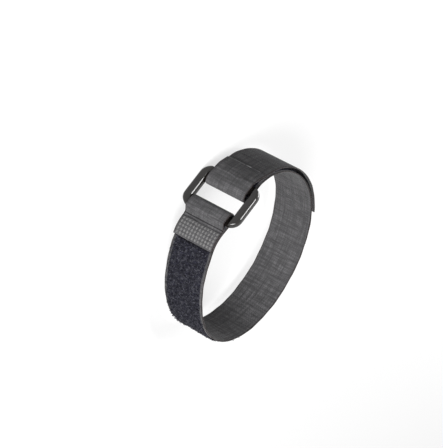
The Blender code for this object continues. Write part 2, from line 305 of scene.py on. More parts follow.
class TapeLine:
    """A smooth plane line through runs of close points, read at any distance along it."""

    def __init__(self, *runs):
        path = np.concatenate(runs)
        step = np.linalg.norm(np.diff(path, axis=0), axis=1)
        self.path = path[np.concatenate([[True], step > LINE_STEP / 100])]
        steps = np.linalg.norm(np.diff(self.path, axis=0), axis=1)
        self.along = np.concatenate([[0.0], np.cumsum(steps)])
        self.way = unit(np.gradient(self.path, self.along, axis=0))
        self.length = self.along[-1]

    def read(self, distance):
        """Points and directions at the distances, in between the line's own points."""
        points = np.stack([np.interp(distance, self.along, self.path[:, k]) for k in (0, 1)], axis=-1)
        ways = np.stack([np.interp(distance, self.along, self.way[:, k]) for k in (0, 1)], axis=-1)
        return points, unit(ways)

    def place(self, distance, across, height):
        """Points in the frame: along the line, across the tape, and a height to the line's left."""
        points, ways = self.read(distance)
        flat = points + left_of(ways) * np.asarray(height)[..., None]
        up = LOOP_CENTRE[2] + np.broadcast_to(across, flat.shape[:-1])
        return np.stack([LOOP_CENTRE[0] + flat[..., 0], LOOP_CENTRE[1] + flat[..., 1], up], axis=-1)


class StrapRoute:
    """The three lines of the strap: the fixed fold, once round the loop, and the tail.

    The round line is flat under the ring, half an ellipse in front and another behind, with a
    cubic on each side of the ring. The fold lies outside it along the weld, climbs a cubic
    ramp and goes half a circle round the fixed bar. The tail goes half a circle round the
    other bar, down a ramp and lies outside the round line.
    """

    def __init__(self, shape, tape):
        self.shape = shape
        self.tape = tape
        self.seat = LOOP_CENTRE[1] - RING_HIGH[1] - tape.thickness / 2 - tape.layer_gap
        self.turn = (RING_HIGH[1] - RING_LOW[1] - RING_SIDE_RISE + tape.thickness) / 2 + tape.layer_gap
        self.fixed_edge = RING_HIGH[0] - LOOP_CENTRE[0]
        self.tail_edge = RING_LOW[0] - LOOP_CENTRE[0]
        self.round = self.round_line()
        start = self.round.path[0]
        end = self.round.path[-1]
        self.weld_near = self.fixed_edge - start[0] + shape.weld_setback
        self.weld_far = self.weld_near + shape.weld_length
        self.landing = self.round.length - (end[0] - self.tail_edge) - shape.landing
        self.tail_end = self.landing - shape.tail_length
        self.fold = self.fold_line()
        self.tail = self.tail_line()
        self.whole = TapeLine(self.fold.path, self.round.path, self.tail.path)
        self.seam = math.pi * self.turn / 2 + shape.seam_reach
        self.round_start = self.fold.length
        self.tail_start = self.fold.length + self.round.length
        self.tape_end = self.tail_start + self.seam

    def ellipse(self, angle):
        """Points and directions of the loop at angles from +X."""
        depth = np.where(np.sin(angle) < 0, self.shape.front_depth, self.shape.back_depth)
        half = self.shape.half_width
        points = np.stack([half * np.cos(angle), depth * np.sin(angle)], axis=-1)
        ways = np.stack([-half * np.sin(angle), depth * np.cos(angle)], axis=-1)
        return points, unit(ways)

    def round_line(self):
        """The strap once round, from under the fixed bar to under the tail bar."""
        shape = self.shape
        right = np.array([1.0, 0.0])
        fixed_turn = self.fixed_edge - RING_BAR + shape.fold_bite
        tail_turn = self.tail_edge + RING_BAR - shape.fold_bite + shape.tail_slack
        flat_to = np.array([self.fixed_edge + shape.shoulder, -self.seat])
        back_from = np.array([self.tail_edge - shape.shoulder, -self.seat])
        leave = -math.acos((flat_to[0] + shape.fixed_blend) / shape.half_width)
        arrive = 2 * math.pi - math.acos((back_from[0] - shape.tail_blend) / shape.half_width)
        steps = math.ceil((arrive - leave) * shape.front_depth / LINE_STEP)
        arc, way = self.ellipse(np.linspace(leave, arrive, steps))
        out = cubic(flat_to, right, arc[0], way[0], shape.blend_share)
        back = cubic(arc[-1], way[-1], back_from, right, shape.blend_share)
        first = np.linspace([fixed_turn, -self.seat], flat_to, 50)
        last = np.linspace(back_from, [tail_turn, -self.seat], 80)
        return TapeLine(first, out, arc, back, last)

    def half_turn(self, x, first_angle):
        """Half a circle, clockwise, round a bar's inner edge."""
        angles = first_angle - np.linspace(0.0, math.pi, math.ceil(math.pi * self.turn / LINE_STEP))
        ring = self.turn * np.stack([np.cos(angles), np.sin(angles)], axis=-1)
        return np.array([x, -(self.seat + self.turn)]) + ring

    def fold_line(self):
        """From the weld's far end along the weld, up a ramp and round the fixed bar."""
        tape = self.tape
        over = -(self.seat + 2 * self.turn)
        count = math.ceil(self.shape.weld_length / LINE_STEP)
        points, way = self.round.read(np.linspace(self.weld_far, self.weld_near, count))
        weld = points - left_of(way) * (tape.thickness + self.shape.weld_seam)
        shoulder = np.array([self.fixed_edge + self.shape.shoulder - RING_EDGE_RADIUS, over])
        ramp = cubic(weld[-1], -way[-1], shoulder, np.array([-1.0, 0.0]), self.shape.ramp_share)
        turn = self.half_turn(self.round.path[0, 0], -math.pi / 2)
        flat = np.linspace(shoulder, turn[0], 30)
        return TapeLine(weld, ramp, flat, turn)

    def tail_line(self):
        """Round the tail bar, down a ramp and outside the round line to the tail's end."""
        over = -(self.seat + 2 * self.turn)
        turn = self.half_turn(self.round.path[-1, 0], math.pi / 2)
        shoulder = np.array([self.tail_edge - self.shape.shoulder + RING_EDGE_RADIUS, over])
        count = math.ceil(self.shape.tail_length / LINE_STEP)
        points, way = self.round.read(np.linspace(self.landing, self.tail_end, count))
        lying = points - left_of(way) * (self.tape.thickness + self.tape.layer_gap)
        ramp = cubic(shoulder, np.array([-1.0, 0.0]), lying[0], -way[0], self.shape.tail_share)
        flat = np.linspace(turn[-1], shoulder, 60)
        return TapeLine(turn, flat, ramp, lying)


# Meshes from arrays

def make_mesh(name, points, faces, places=None, shades=None):
    """A smooth mesh object from arrays, which rides on the one body."""
    mesh = bpy.data.meshes.new(name)
    mesh.from_pydata(points.reshape(-1, 3).tolist(), [], faces)
    if places is not None:
        stored = mesh.attributes.new(PLACE, "FLOAT_VECTOR", "POINT")
        stored.data.foreach_set("vector", places.reshape(-1).astype(np.float32))
    if shades is not None:
        stored = mesh.attributes.new(SHADE, "FLOAT", "POINT")
        stored.data.foreach_set("value", shades.reshape(-1).astype(np.float32))
    mesh.shade_smooth()
    mesh.validate()
    piece = bpy.data.objects.new(name, mesh)
    bpy.context.scene.collection.objects.link(piece)
    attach(piece, "root")
    return piece


def skin_faces(rows, around):
    """Quads of a skin over closed rings of points, one ring after the other, and its two ends."""
    index = np.arange(rows * around).reshape(rows, around)
    turned = np.roll(index, -1, axis=1)
    quads = np.stack([index[:-1], turned[:-1], turned[1:], index[1:]], axis=-1).reshape(-1, 4)
    return quads.tolist() + [index[0][::-1].tolist(), index[-1].tolist()]


def tube_arrays(paths, radius, sides):
    """Points and faces of thin tubes along many short paths at once.

    A ring of points stands square to each path point: its axes are the normal of the path's
    own plane and the cross product of that normal with the direction. Flat caps close it.
    """
    count, steps = paths.shape[:2]
    way = unit(np.gradient(paths, axis=1))
    plane = unit(np.cross(way[:, 0], way[:, steps // 2]) + 1e-9)[:, None]
    side = unit(np.cross(way, plane))
    up = np.cross(side, way)
    angle = 2 * math.pi * np.arange(sides) / sides
    width = np.broadcast_to(np.asarray(radius, float), (count, steps))[..., None, None]
    rings = paths[:, :, None] + width * (
        np.cos(angle)[:, None] * side[:, :, None] + np.sin(angle)[:, None] * up[:, :, None])
    index = np.arange(count * steps * sides).reshape(count, steps, sides)
    turned = np.roll(index, -1, axis=2)
    quads = np.stack([index[:, :-1], turned[:, :-1], turned[:, 1:], index[:, 1:]], axis=-1)
    caps = np.concatenate([index[:, 0, ::-1], index[:, -1]])
    return rings, quads.reshape(-1, 4).tolist() + caps.tolist()


def tape_section():
    """The tape's closed section, as coefficients that each station's own sizes multiply.

    Returns, for each point round the section, the share of the flat half width, the share of
    the edge radius across, the share of it in height, whether it lies on the pile side, and
    whether it lies on the woven back.
    """
    flat = np.array([-1.0, -0.95, -0.88, -0.865, -0.8, -0.55, -0.28, 0.0,
                     0.28, 0.55, 0.8, 0.865, 0.88, 0.95, 1.0])
    turn = np.linspace(0.0, math.pi, 6)[1:-1]
    zero = np.zeros_like(turn)
    one = np.ones_like(flat)
    across = np.concatenate([flat, zero + 1, flat[::-1], zero - 1])
    edge = np.concatenate([0 * flat, np.sin(turn), 0 * flat, -np.sin(turn)])
    rise = np.concatenate([one, np.cos(turn), -one, -np.cos(turn)])
    raised = (np.abs(flat) < MAT_SHARE).astype(float)
    pile = np.concatenate([0 * flat, zero, raised, zero])
    back = np.concatenate([one, zero, 0 * flat, zero])
    return across, edge, rise, pile, back


def tape_rings(line, along, half_width, back, ground, mat, tape, lower_edge_sag=0.0):
    """Rings of points that carry the tape's section along a line.

    The woven back's height is a cosine of the distance along, the ribs. The edges wander by a
    sum of two slow sines. The section's edge is half a circle as thick as the ground. The
    sag is a drop that grows with the square of the distance from the upper edge.
    """
    across, edge, rise, pile, woven = tape_section()
    radius = (ground / 2)[:, None]
    middle = (back - ground / 2)[:, None]
    slow, quick = WANDER_RUNS
    wander = EDGE_WANDER * (np.sin(along / slow) + 0.7 * np.sin(along / quick + 1.0))[:, None]
    flat_half = half_width - radius + wander
    rib = tape.rib_height * np.cos(2 * math.pi * along / tape.rib_pitch)[:, None]
    width = across * flat_half + edge * radius
    from_upper = (half_width - width) / (2 * half_width)
    height = middle + rise * radius - pile * mat[:, None] + woven * rib
    height = height - np.asarray(lower_edge_sag)[..., None] * from_upper ** 2
    points = line.place(along[:, None], width, height)
    places = np.stack([width, np.broadcast_to(along[:, None], width.shape), height], axis=-1)
    return points, places


def paint_sides(piece, rows, around, back_material, pile_material):
    """Give a tape's faces the woven finish on its back and edges and the pile finish inside."""
    piece.data.materials.append(back_material)
    piece.data.materials.append(pile_material)
    pile = tape_section()[3]
    on_pile = ((pile + np.roll(pile, -1)) > 0).astype(np.int32)
    slots = np.concatenate([np.tile(on_pile, rows - 1), [0, 0]]).astype(np.int32)
    piece.data.polygons.foreach_set("material_index", slots)


# Materials

def add_node(tree, kind, values=None, **settings):
    """Add a node, set its properties and the plain values of its inputs."""
    made = tree.nodes.new(kind)
    for name, value in settings.items():
        setattr(made, name, value)
    for name, value in (values or {}).items():
        made.inputs[name].default_value = value
    return made


def math_node(tree, operation, first, second=0.0, clamp=False):
    """Add a Math node on two sockets or numbers and return its output."""
    made = add_node(tree, "ShaderNodeMath", operation=operation, use_clamp=clamp)
    for socket, value in zip(made.inputs, (first, second)):
        if isinstance(value, bpy.types.NodeSocket):
            tree.links.new(value, socket)
        else:
            socket.default_value = value
    return made.outputs[0]


def mix_colour(tree, share, first, second):
    """Add a colour mix of two colours or sockets and return its output."""
    made = add_node(tree, "ShaderNodeMix", data_type="RGBA")
    wanted = ((made.inputs["Factor"], share), (made.inputs[6], first), (made.inputs[7], second))
    for socket, value in wanted:
        if isinstance(value, bpy.types.NodeSocket):
            tree.links.new(value, socket)
        elif socket == made.inputs["Factor"]:
            socket.default_value = value
        else:
            socket.default_value = (*value, 1.0)
    return made.outputs[2]


def new_group(name, inputs, outputs):
    """A shader node group with named sockets, and its input and output nodes."""
    group = bpy.data.node_groups.new(name, "ShaderNodeTree")
    for label, kind, value in inputs:
        socket = group.interface.new_socket(label, in_out="INPUT", socket_type=kind)
        if value is not None:
            socket.default_value = value
    for label, kind in outputs:
        group.interface.new_socket(label, in_out="OUTPUT", socket_type=kind)
    return group, group.nodes.new("NodeGroupInput"), group.nodes.new("NodeGroupOutput")


def thread_weave_group():
    """Plain weave: each cell shows the thread that passes over, as half a sine across it.

    Height is high on a thread's crown and low between threads, with a fine noise on top.
    """
    group, given, result = new_group(
        "Thread Weave",
        [("Place", "NodeSocketVector", None), ("Warp Pitch", "NodeSocketFloat", 0.0005),
         ("Weft Pitch", "NodeSocketFloat", 0.0006), ("Unevenness", "NodeSocketFloat", 0.3)],
        [("Height", "NodeSocketFloat")])
    parts = add_node(group, "ShaderNodeSeparateXYZ")
    group.links.new(given.outputs["Place"], parts.inputs[0])
    waves = []
    for axis, pitch in ((0, "Warp Pitch"), (1, "Weft Pitch")):
        turns = math_node(group, "DIVIDE", parts.outputs[axis], given.outputs[pitch])
        waves.append(math_node(group, "SINE", math_node(group, "MULTIPLY", turns, math.pi)))
    over = math_node(group, "GREATER_THAN", math_node(group, "MULTIPLY", *waves), 0.0)
    warp = math_node(group, "ABSOLUTE", waves[0])
    weft = math_node(group, "ABSOLUTE", waves[1])
    extra = math_node(group, "MULTIPLY", over, math_node(group, "SUBTRACT", warp, weft))
    crown = math_node(group, "ADD", weft, extra)
    noise = add_node(group, "ShaderNodeTexNoise", {"Scale": 900.0, "Detail": 3.0, "Roughness": 0.6})
    group.links.new(given.outputs["Place"], noise.inputs["Vector"])
    uneven = math_node(group, "MULTIPLY", noise.outputs["Fac"], given.outputs["Unevenness"])
    group.links.new(math_node(group, "ADD", crown, uneven), result.inputs["Height"])
    return group


def streak_group():
    """Streaks: one noise stretched by a scale of its own on each axis, spread about one half."""
    group, given, result = new_group(
        "Streaks",
        [("Place", "NodeSocketVector", None), ("Stretch", "NodeSocketVector", None),
         ("Contrast", "NodeSocketFloat", 1.0)],
        [("Mask", "NodeSocketFloat")])
    scaled = add_node(group, "ShaderNodeVectorMath", operation="MULTIPLY")
    group.links.new(given.outputs["Place"], scaled.inputs[0])
    group.links.new(given.outputs["Stretch"], scaled.inputs[1])
    noise = add_node(group, "ShaderNodeTexNoise", {"Scale": 1.0, "Detail": 2.0, "Roughness": 0.6})
    group.links.new(scaled.outputs[0], noise.inputs["Vector"])
    centred = math_node(group, "SUBTRACT", noise.outputs["Fac"], 0.5)
    spread = math_node(group, "MULTIPLY", centred, given.outputs["Contrast"])
    mask = math_node(group, "ADD", spread, 0.5, clamp=True)
    group.links.new(mask, result.inputs["Mask"])
    return group


def fleck_group():
    """Flecks: a fine noise pushed apart by contrast, between two colours."""
    group, given, result = new_group(
        "Flecks",
        [("Place", "NodeSocketVector", None), ("Scale", "NodeSocketFloat", 2500.0),
         ("Contrast", "NodeSocketFloat", 4.0), ("Level", "NodeSocketFloat", 0.5),
         ("Dark", "NodeSocketColor", None), ("Light", "NodeSocketColor", None)],
        [("Colour", "NodeSocketColor"), ("Mask", "NodeSocketFloat")])
    noise = add_node(group, "ShaderNodeTexNoise", {"Detail": 4.0, "Roughness": 0.65})
    group.links.new(given.outputs["Place"], noise.inputs["Vector"])
    group.links.new(given.outputs["Scale"], noise.inputs["Scale"])
    centred = math_node(group, "SUBTRACT", noise.outputs["Fac"], given.outputs["Level"])
    spread = math_node(group, "MULTIPLY", centred, given.outputs["Contrast"])
    mask = math_node(group, "ADD", spread, 0.5, clamp=True)
    colour = mix_colour(group, mask, given.outputs["Dark"], given.outputs["Light"])
    group.links.new(colour, result.inputs["Colour"])
    group.links.new(mask, result.inputs["Mask"])
    return group


def edge_band_group():
    """A band along both edges of a tape: one where the distance across passes the inner line."""
    group, given, result = new_group(
        "Edge Band",
        [("Place", "NodeSocketVector", None), ("Inner Line", "NodeSocketFloat", 0.008),
         ("Softness", "NodeSocketFloat", 0.0003)],
        [("Mask", "NodeSocketFloat")])
    parts = add_node(group, "ShaderNodeSeparateXYZ")
    group.links.new(given.outputs["Place"], parts.inputs[0])
    across = math_node(group, "ABSOLUTE", parts.outputs[0])
    past = math_node(group, "SUBTRACT", across, given.outputs["Inner Line"])
    share = math_node(group, "DIVIDE", past, given.outputs["Softness"])
    mask = math_node(group, "ADD", share, 0.5, clamp=True)
    group.links.new(mask, result.inputs["Mask"])
    return group


def group_of(name, build):
    """The node group of that name, built the first time it is asked for."""
    return bpy.data.node_groups.get(name) or build()


def place_group(tree, name, build, place, values):
    """Put a node group into a material, feed it a place and set its other inputs."""
    made = add_node(tree, "ShaderNodeGroup", node_tree=group_of(name, build))
    tree.links.new(place, made.inputs["Place"])
    for label, value in values.items():
        socket = made.inputs[label]
        socket.default_value = (*value, 1.0) if socket.type == "RGBA" else value
    return made


def start_material(name, roughness, **sockets):
    """A new Principled material with plain numbers on its own sockets."""
    material = bpy.data.materials.new(name)
    material.use_nodes = True
    tree = material.node_tree
    shader = tree.nodes["Principled BSDF"]
    shader.inputs["Roughness"].default_value = roughness
    for label, value in sockets.items():
        shader.inputs[label.replace("_", " ")].default_value = value
    return material, tree, shader


def tape_place(tree):
    """The socket with a tape's own coordinates: across, along and height."""
    return add_node(tree, "ShaderNodeAttribute", attribute_name=PLACE).outputs["Vector"]


def object_place(tree):
    """The socket with Object coordinates."""
    return add_node(tree, "ShaderNodeTexCoord").outputs["Object"]


def add_bump(tree, shader, height, strength, distance):
    """Feed a height through a Bump node into the shader's normal."""
    bump = add_node(tree, "ShaderNodeBump", {"Strength": strength, "Distance": distance})
    tree.links.new(height, bump.inputs["Height"])
    tree.links.new(bump.outputs["Normal"], shader.inputs["Normal"])


def painted_tape_shade(tree, colour):
    """A colour darkened by the tape's painted shade attribute: painted shade in the creases, past the weld
    and in the lap.
    """
    shade = add_node(tree, "ShaderNodeAttribute", attribute_name=SHADE).outputs["Fac"]
    deep = mix_colour(tree, PAINTED_SHADE_STRENGTH, colour, PAINTED_SHADE_COLOUR)
    return mix_colour(tree, shade, colour, deep)


def weave_material(name, tape, colours, light, shade):
    """The woven back: threads lighter than their hollows, which hold painted shade, streaks both ways,
    browner edges.
    """
    material, tree, shader = start_material(name, 0.8, Sheen_Weight=0.2, Sheen_Roughness=0.35,
                                            Specular_IOR_Level=0.06)
    place = tape_place(tree)
    weave = place_group(tree, "Thread Weave", thread_weave_group, place,
                        {"Warp Pitch": tape.warp_pitch, "Weft Pitch": tape.rib_pitch,
                         "Unevenness": 0.5})
    cross = place_group(tree, "Streaks", streak_group, place,
                        {"Stretch": (110.0, 900.0, 0.0), "Contrast": 2.6})
    length = place_group(tree, "Streaks", streak_group, place,
                         {"Stretch": (1100.0, 60.0, 0.0), "Contrast": 2.2})
    band = place_group(tree, "Edge Band", edge_band_group, place,
                       {"Inner Line": TAPE_HALF_WIDTH - tape.selvage * 0.4,
                        "Softness": 0.0004})
    wear_and_shade = math_node(tree, "MULTIPLY", cross.outputs["Mask"], length.outputs["Mask"])
    lit = mix_colour(tree, wear_and_shade, tuple(0.50 * c for c in light), tuple(1.55 * c for c in light))
    # Painted shade in the hollows between the threads, their own colour on the crowns
    threads = mix_colour(tree, weave.outputs["Height"], shade, lit)
    edged = mix_colour(tree, math_node(tree, "MULTIPLY", band.outputs["Mask"], 0.85),
                       threads, tuple(colours.edge))
    tree.links.new(painted_tape_shade(tree, edged), shader.inputs["Base Color"])
    height = math_node(tree, "ADD", weave.outputs["Height"], cross.outputs["Mask"])
    add_bump(tree, shader, height, 0.7, 0.00012)
    return material


def weld_material(tape, colours):
    """The waffle: its tone attribute runs from painted shade in the pits and grooves to the polished pads.
    """
    material, tree, shader = start_material("welded_weave", 0.55, Specular_IOR_Level=0.2)
    place = tape_place(tree)
    tone = add_node(tree, "ShaderNodeAttribute", attribute_name=SHADE).outputs["Fac"]
    fleck = place_group(tree, "Flecks", fleck_group, place,
                        {"Scale": 1100.0, "Contrast": 2.5, "Level": 0.5,
                         "Dark": tuple(0.7 * c for c in colours.weld), "Light": tuple(colours.weld)})
    # Painted shade: the woven back's hollow colour in the pits and grooves, its thread colour between
    low = mix_colour(tree, tone, tuple(colours.weave_shade), tuple(colours.weave))
    wear_and_shade = mix_colour(tree, math_node(tree, "POWER", tone, 2.0), low, fleck.outputs["Colour"])
    tree.links.new(wear_and_shade, shader.inputs["Base Color"])
    add_bump(tree, shader, fleck.outputs["Mask"], 0.3, 0.00005)
    return material


def pile_mat_material(name, tape, colours):
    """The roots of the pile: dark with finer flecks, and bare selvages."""
    material, tree, shader = start_material(name, 0.95, Specular_IOR_Level=0.05)
    place = tape_place(tree)
    fleck = place_group(tree, "Flecks", fleck_group, place,
                        {"Scale": 1300.0, "Contrast": 4.0, "Level": 0.54,
                         "Dark": tuple(colours.mat), "Light": tuple(2.2 * c for c in colours.fibre)})
    threads = place_group(tree, "Streaks", streak_group, place,
                          {"Stretch": (500.0, 1500.0, 0.0), "Contrast": 3.0})
    band = place_group(tree, "Edge Band", edge_band_group, place,
                       {"Inner Line": TAPE_HALF_WIDTH - tape.selvage,
                        "Softness": 0.0003})
    bare = mix_colour(tree, threads.outputs["Mask"], tuple(0.55 * c for c in colours.selvage),
                      tuple(1.2 * c for c in colours.selvage))
    rim = place_group(tree, "Edge Band", edge_band_group, place,
                      {"Inner Line": TAPE_HALF_WIDTH - tape.ground / 2,
                       "Softness": 0.0003})
    edged = mix_colour(tree, band.outputs["Mask"], fleck.outputs["Colour"], bare)
    edged = mix_colour(tree, rim.outputs["Mask"], edged, tuple(colours.edge))
    tree.links.new(painted_tape_shade(tree, edged), shader.inputs["Base Color"])
    add_bump(tree, shader, fleck.outputs["Mask"], 0.8, 0.0002)
    return material


def fibre_material(name, dark, light, scale, roughness):
    """Fibres that vary from dark to light from place to place."""
    material, tree, shader = start_material(name, roughness, Specular_IOR_Level=0.2)
    fleck = place_group(tree, "Flecks", fleck_group, object_place(tree),
                        {"Scale": scale, "Contrast": 5.0, "Level": 0.54, "Dark": dark, "Light": light})
    tree.links.new(fleck.outputs["Colour"], shader.inputs["Base Color"])
    return material


def ring_material(colours):
    """Moulded black plastic: a faint bloom, uneven gloss and a very fine grain."""
    material, tree, shader = start_material("ring_moulding", 0.1, Specular_IOR_Level=0.5)
    place = object_place(tree)
    bloom = place_group(tree, "Flecks", fleck_group, place,
                        {"Scale": 240.0, "Contrast": 2.0, "Level": 0.56,
                         "Dark": tuple(colours.ring), "Light": tuple(colours.ring_bloom)})
    grain = place_group(tree, "Flecks", fleck_group, place,
                        {"Scale": 3200.0, "Contrast": 2.0, "Level": 0.5,
                         "Dark": (0.0, 0.0, 0.0), "Light": (1.0, 1.0, 1.0)})
    dusty = math_node(tree, "MULTIPLY", bloom.outputs["Mask"], RING_GLOSS_SPREAD)
    gloss = math_node(tree, "ADD", dusty, RING_GLOSS)
    tree.links.new(bloom.outputs["Colour"], shader.inputs["Base Color"])
    tree.links.new(gloss, shader.inputs["Roughness"])
    add_bump(tree, shader, grain.outputs["Mask"], 0.08, 0.00002)
    return material


def floor_material(colours):
    """The floor: its own colour by bounced light, white to the camera and gloss, with shadow."""
    material = bpy.data.materials.new("studio_floor")
    material.use_nodes = True
    tree = material.node_tree
    tree.nodes.clear()
    path = add_node(tree, "ShaderNodeLightPath")
    seen = math_node(tree, "MAXIMUM", path.outputs["Is Camera Ray"], path.outputs["Is Glossy Ray"])
    seen = math_node(tree, "MAXIMUM", seen, path.outputs["Is Transmission Ray"])
    diffuse = add_node(tree, "ShaderNodeBsdfDiffuse")
    tree.links.new(mix_colour(tree, seen, tuple(colours.floor), (1.0, 1.0, 1.0)),
                   diffuse.inputs["Color"])
    glow = add_node(tree, "ShaderNodeEmission", {"Color": (1.0, 1.0, 1.0, 1.0), "Strength": 1.0})
    mixed = add_node(tree, "ShaderNodeMixShader")
    out = add_node(tree, "ShaderNodeOutputMaterial")
    tree.links.new(math_node(tree, "MULTIPLY", seen, FLOOR_GLOW), mixed.inputs[0])
    tree.links.new(diffuse.outputs[0], mixed.inputs[1])
    tree.links.new(glow.outputs[0], mixed.inputs[2])
    tree.links.new(mixed.outputs[0], out.inputs["Surface"])
    return material


# Shapes of the tie's pieces

def ring_section(sizes, half_height):
    """The bar's closed section: a superellipse, read at equal turns of its normal.

    With the normal at an angle, across is the half width times (half width times the cosine)
    to the power 1 / (p - 1), height the same with the half height and the sine, and both are
    divided by the p-norm that puts the point on the curve.
    """
    half = np.array([sizes.bar / 2, half_height])
    turn = np.linspace(0.0, math.pi / 2, RING_SECTION_STEPS)
    normal = half * np.stack([np.cos(turn), np.sin(turn)], axis=-1)
    power = sizes.squareness
    share = np.sum(normal ** (power / (power - 1)), axis=1, keepdims=True) ** (1 / power)
    quarter = half * normal ** (1 / (power - 1)) / share
    upper = np.concatenate([quarter, (quarter * [-1, 1])[-2::-1]])
    lower = (upper * [1, -1])[-2:0:-1]
    return np.concatenate([upper, lower])


def ring_rings(sizes, gap):
    """Rings of points of the moulded ring: its section carried round a rounded rectangle.

    Each corner is a quarter circle, and each straight has a few rings of its own, so it shades
    flat. The outer half of the section is lifted by a smooth step of the distance from the
    strap's middle, so the side bars stand above the cross bars, from a gap beside the strap.
    """
    low = np.array(RING_LOW) + [0.0, sizes.side_rise, 0.0]
    half = (np.array(RING_HIGH) - low) / 2
    middle = (np.array(RING_HIGH) + low) / 2
    radius = sizes.corner_radius - sizes.bar / 2
    reach = half[[0, 2]] - sizes.bar / 2 - radius
    centres = reach * np.array([[1, 1], [-1, 1], [-1, -1], [1, -1]])
    angle = np.linspace(0.0, math.pi / 2, RING_CORNER_STEPS) + math.pi / 2 * np.arange(4)[:, None]
    outward = np.stack([np.cos(angle), np.sin(angle)], axis=-1)
    corners = centres[:, None] + radius * outward
    share = np.array(STRAIGHT_STATIONS)[:, None]
    straights = corners[:, -1:] * (1 - share) + np.roll(corners[:, :1], -1, axis=0) * share
    flat_way = np.repeat(outward[:, -1:], len(share), axis=1)
    line = np.concatenate([corners, straights], axis=1).reshape(-1, 2)
    outward = np.concatenate([outward, flat_way], axis=1).reshape(-1, 2)
    across, height = ring_section(sizes, half[1]).T
    flat = line[:, None] + across[None, :, None] * outward[:, None]
    start = TAPE_HALF_WIDTH + gap
    rise = smooth_step(np.abs(flat[..., 1]), start, start + sizes.rise_run)
    points = np.empty((*flat.shape[:2], 3))
    points[..., 0] = middle[0] + flat[..., 0]
    points[..., 1] = middle[1] - height - sizes.side_rise * rise * (height > FLAT_HEIGHT)
    points[..., 2] = middle[2] + flat[..., 1]
    return points


def closed_grid_faces(rows, around):
    """Quads of a grid that closes both ways."""
    index = np.arange(rows * around).reshape(rows, around)
    turned = np.roll(index, -1, axis=1)
    ahead = np.roll(index, -1, axis=0)
    quads = np.stack([index, turned, np.roll(turned, -1, axis=0), ahead], axis=-1)
    return quads.reshape(-1, 4).tolist()


def smooth_step(value, low, high):
    """Zero below low, one above high, and a smooth rise between."""
    t = np.clip((value - low) / (high - low), 0.0, 1.0)
    return t * t * (3 - 2 * t)


def loop_tape_stations(route):
    """Distances along the loop tape and its heights there: back, ground and pile mat.

    The back sinks where the weld squeezes it and rises over the lap, and two bell-shaped
    creases cross it where the weld starts. The mat is thin in the lap and thick in the weld,
    where the two layers are fused. The fifth array is painted shade: darker in the creases, and a
    painted shadow just past the weld's cut end.
    """
    tape = route.tape
    shape = route.shape
    along = np.arange(0.0, route.tape_end, tape.rib_pitch / STATIONS_PER_RIB)
    along = np.append(along, route.tape_end)
    weld_end = shape.weld_length
    squeeze = 1.0 - smooth_step(along, weld_end, weld_end + tape.weld_step)
    lap = route.tape_end - tape.lap_length
    lift = smooth_step(along, lap - tape.lap_length / 2, lap)
    creases = np.zeros_like(along)
    for place, strength in CREASES:
        creases += strength * np.exp(-((along - weld_end - place) / CREASE_RUN) ** 2)
    back = tape.thickness / 2 + tape.lap_rise * lift - tape.weld_squeeze * squeeze
    back = back - tape.crease_depth * creases
    near = route.round_start + route.weld_near
    past = near + shape.weld_length
    under_weld = smooth_step(along, near - UNDER_WELD_RUN, near)
    under_weld = under_weld - smooth_step(along, past, past + UNDER_WELD_RUN)
    mat = tape.mat * (1.0 - lift) + WELD_MAT * squeeze + UNDER_WELD_MAT * under_weld
    ground = np.full_like(along, tape.ground)
    far = route.round_start + route.weld_far
    # Painted shadow just past the weld's cut end, added to the painted shade in the creases
    painted_weld_shadow = np.exp(-((along - far - WELD_SHADOW_PLACE) / WELD_SHADOW_RUN) ** 2)
    return along, back, ground, mat, np.clip(0.9 * creases + painted_weld_shadow, 0.0, 1.0)


def scatter(low, high, half_width, density, rng):
    """Jittered places: an even grid of along and across, each shifted within its cell."""
    cell = 1.0 / math.sqrt(density)
    rows = max(1, round((high - low) / cell))
    columns = max(1, round(2 * half_width / cell))
    row, column = np.meshgrid(np.arange(rows), np.arange(columns), indexing="ij")
    shift = rng.uniform(0.0, 1.0, (2, rows, columns))
    along = low + (row + shift[0]) * (high - low) / rows
    across = -half_width + (column + shift[1]) * 2 * half_width / columns
    return along.reshape(-1), across.reshape(-1)


def pile_paths(line, along, across, root, tape, rng):
    """Centre lines of pile loops: an open circle on its root, turned and leant at random.

    A point's height is the radius times the cosine's rise from the open ends, and its way
    forward the radius times the sine. The loop leans sideways and its ends part like a coil.
    """
    tufts = len(along)
    turn = rng.uniform(0.0, 2 * math.pi, tufts).repeat(tape.tuft)[:, None]
    lean = rng.uniform(0.75, 1.25, tufts).repeat(tape.tuft)[:, None]
    radius = tape.loop_radius * rng.uniform(0.6, 1.4, tufts).repeat(tape.tuft)[:, None]
    count = tufts * tape.tuft
    along = along.repeat(tape.tuft) + rng.normal(0.0, TUFT_SPREAD, count)
    across = across.repeat(tape.tuft) + rng.normal(0.0, TUFT_SPREAD, count)
    turn = turn + rng.normal(0.0, 0.3, (count, 1))
    lean = lean + rng.normal(0.0, 0.12, (count, 1))
    lean = lean * rng.choice([-1.0, 1.0], (count, 1), p=[0.15, 0.85])
    radius = radius * rng.uniform(0.85, 1.15, (count, 1))
    opening = rng.uniform(1.6, 2.5, (count, 1))
    angle = np.linspace(-1.0, 1.0, 8) * opening
    forward = radius * np.sin(angle)
    rise = radius * (np.cos(angle) - np.cos(opening))
    aside = rise * np.sin(lean) + COIL_PITCH * radius * angle
    rise = rise * np.cos(lean)
    ahead = along[:, None] + forward * np.cos(turn) - aside * np.sin(turn)
    sideways = across[:, None] + forward * np.sin(turn) + aside * np.cos(turn)
    return line.place(ahead, sideways, root - rise)


def hook_paths(line, along, across, root, heading, tape):
    """Centre lines of hooks: a straight stem from the root, then most of a circle forward."""
    bend = tape.hook_height * HOOK_BEND_SHARE
    stem = np.linspace(0.0, tape.hook_height - bend, 4)
    angle = np.linspace(0.0, HOOK_CURL, 8)[1:]
    reach = np.concatenate([0 * stem, bend * (1 - np.cos(angle))])
    rise = np.concatenate([stem, stem[-1] + bend * np.sin(angle)])
    ahead = along[:, None] + heading[:, None] * reach
    return line.place(ahead, across[:, None], root[:, None] - rise)


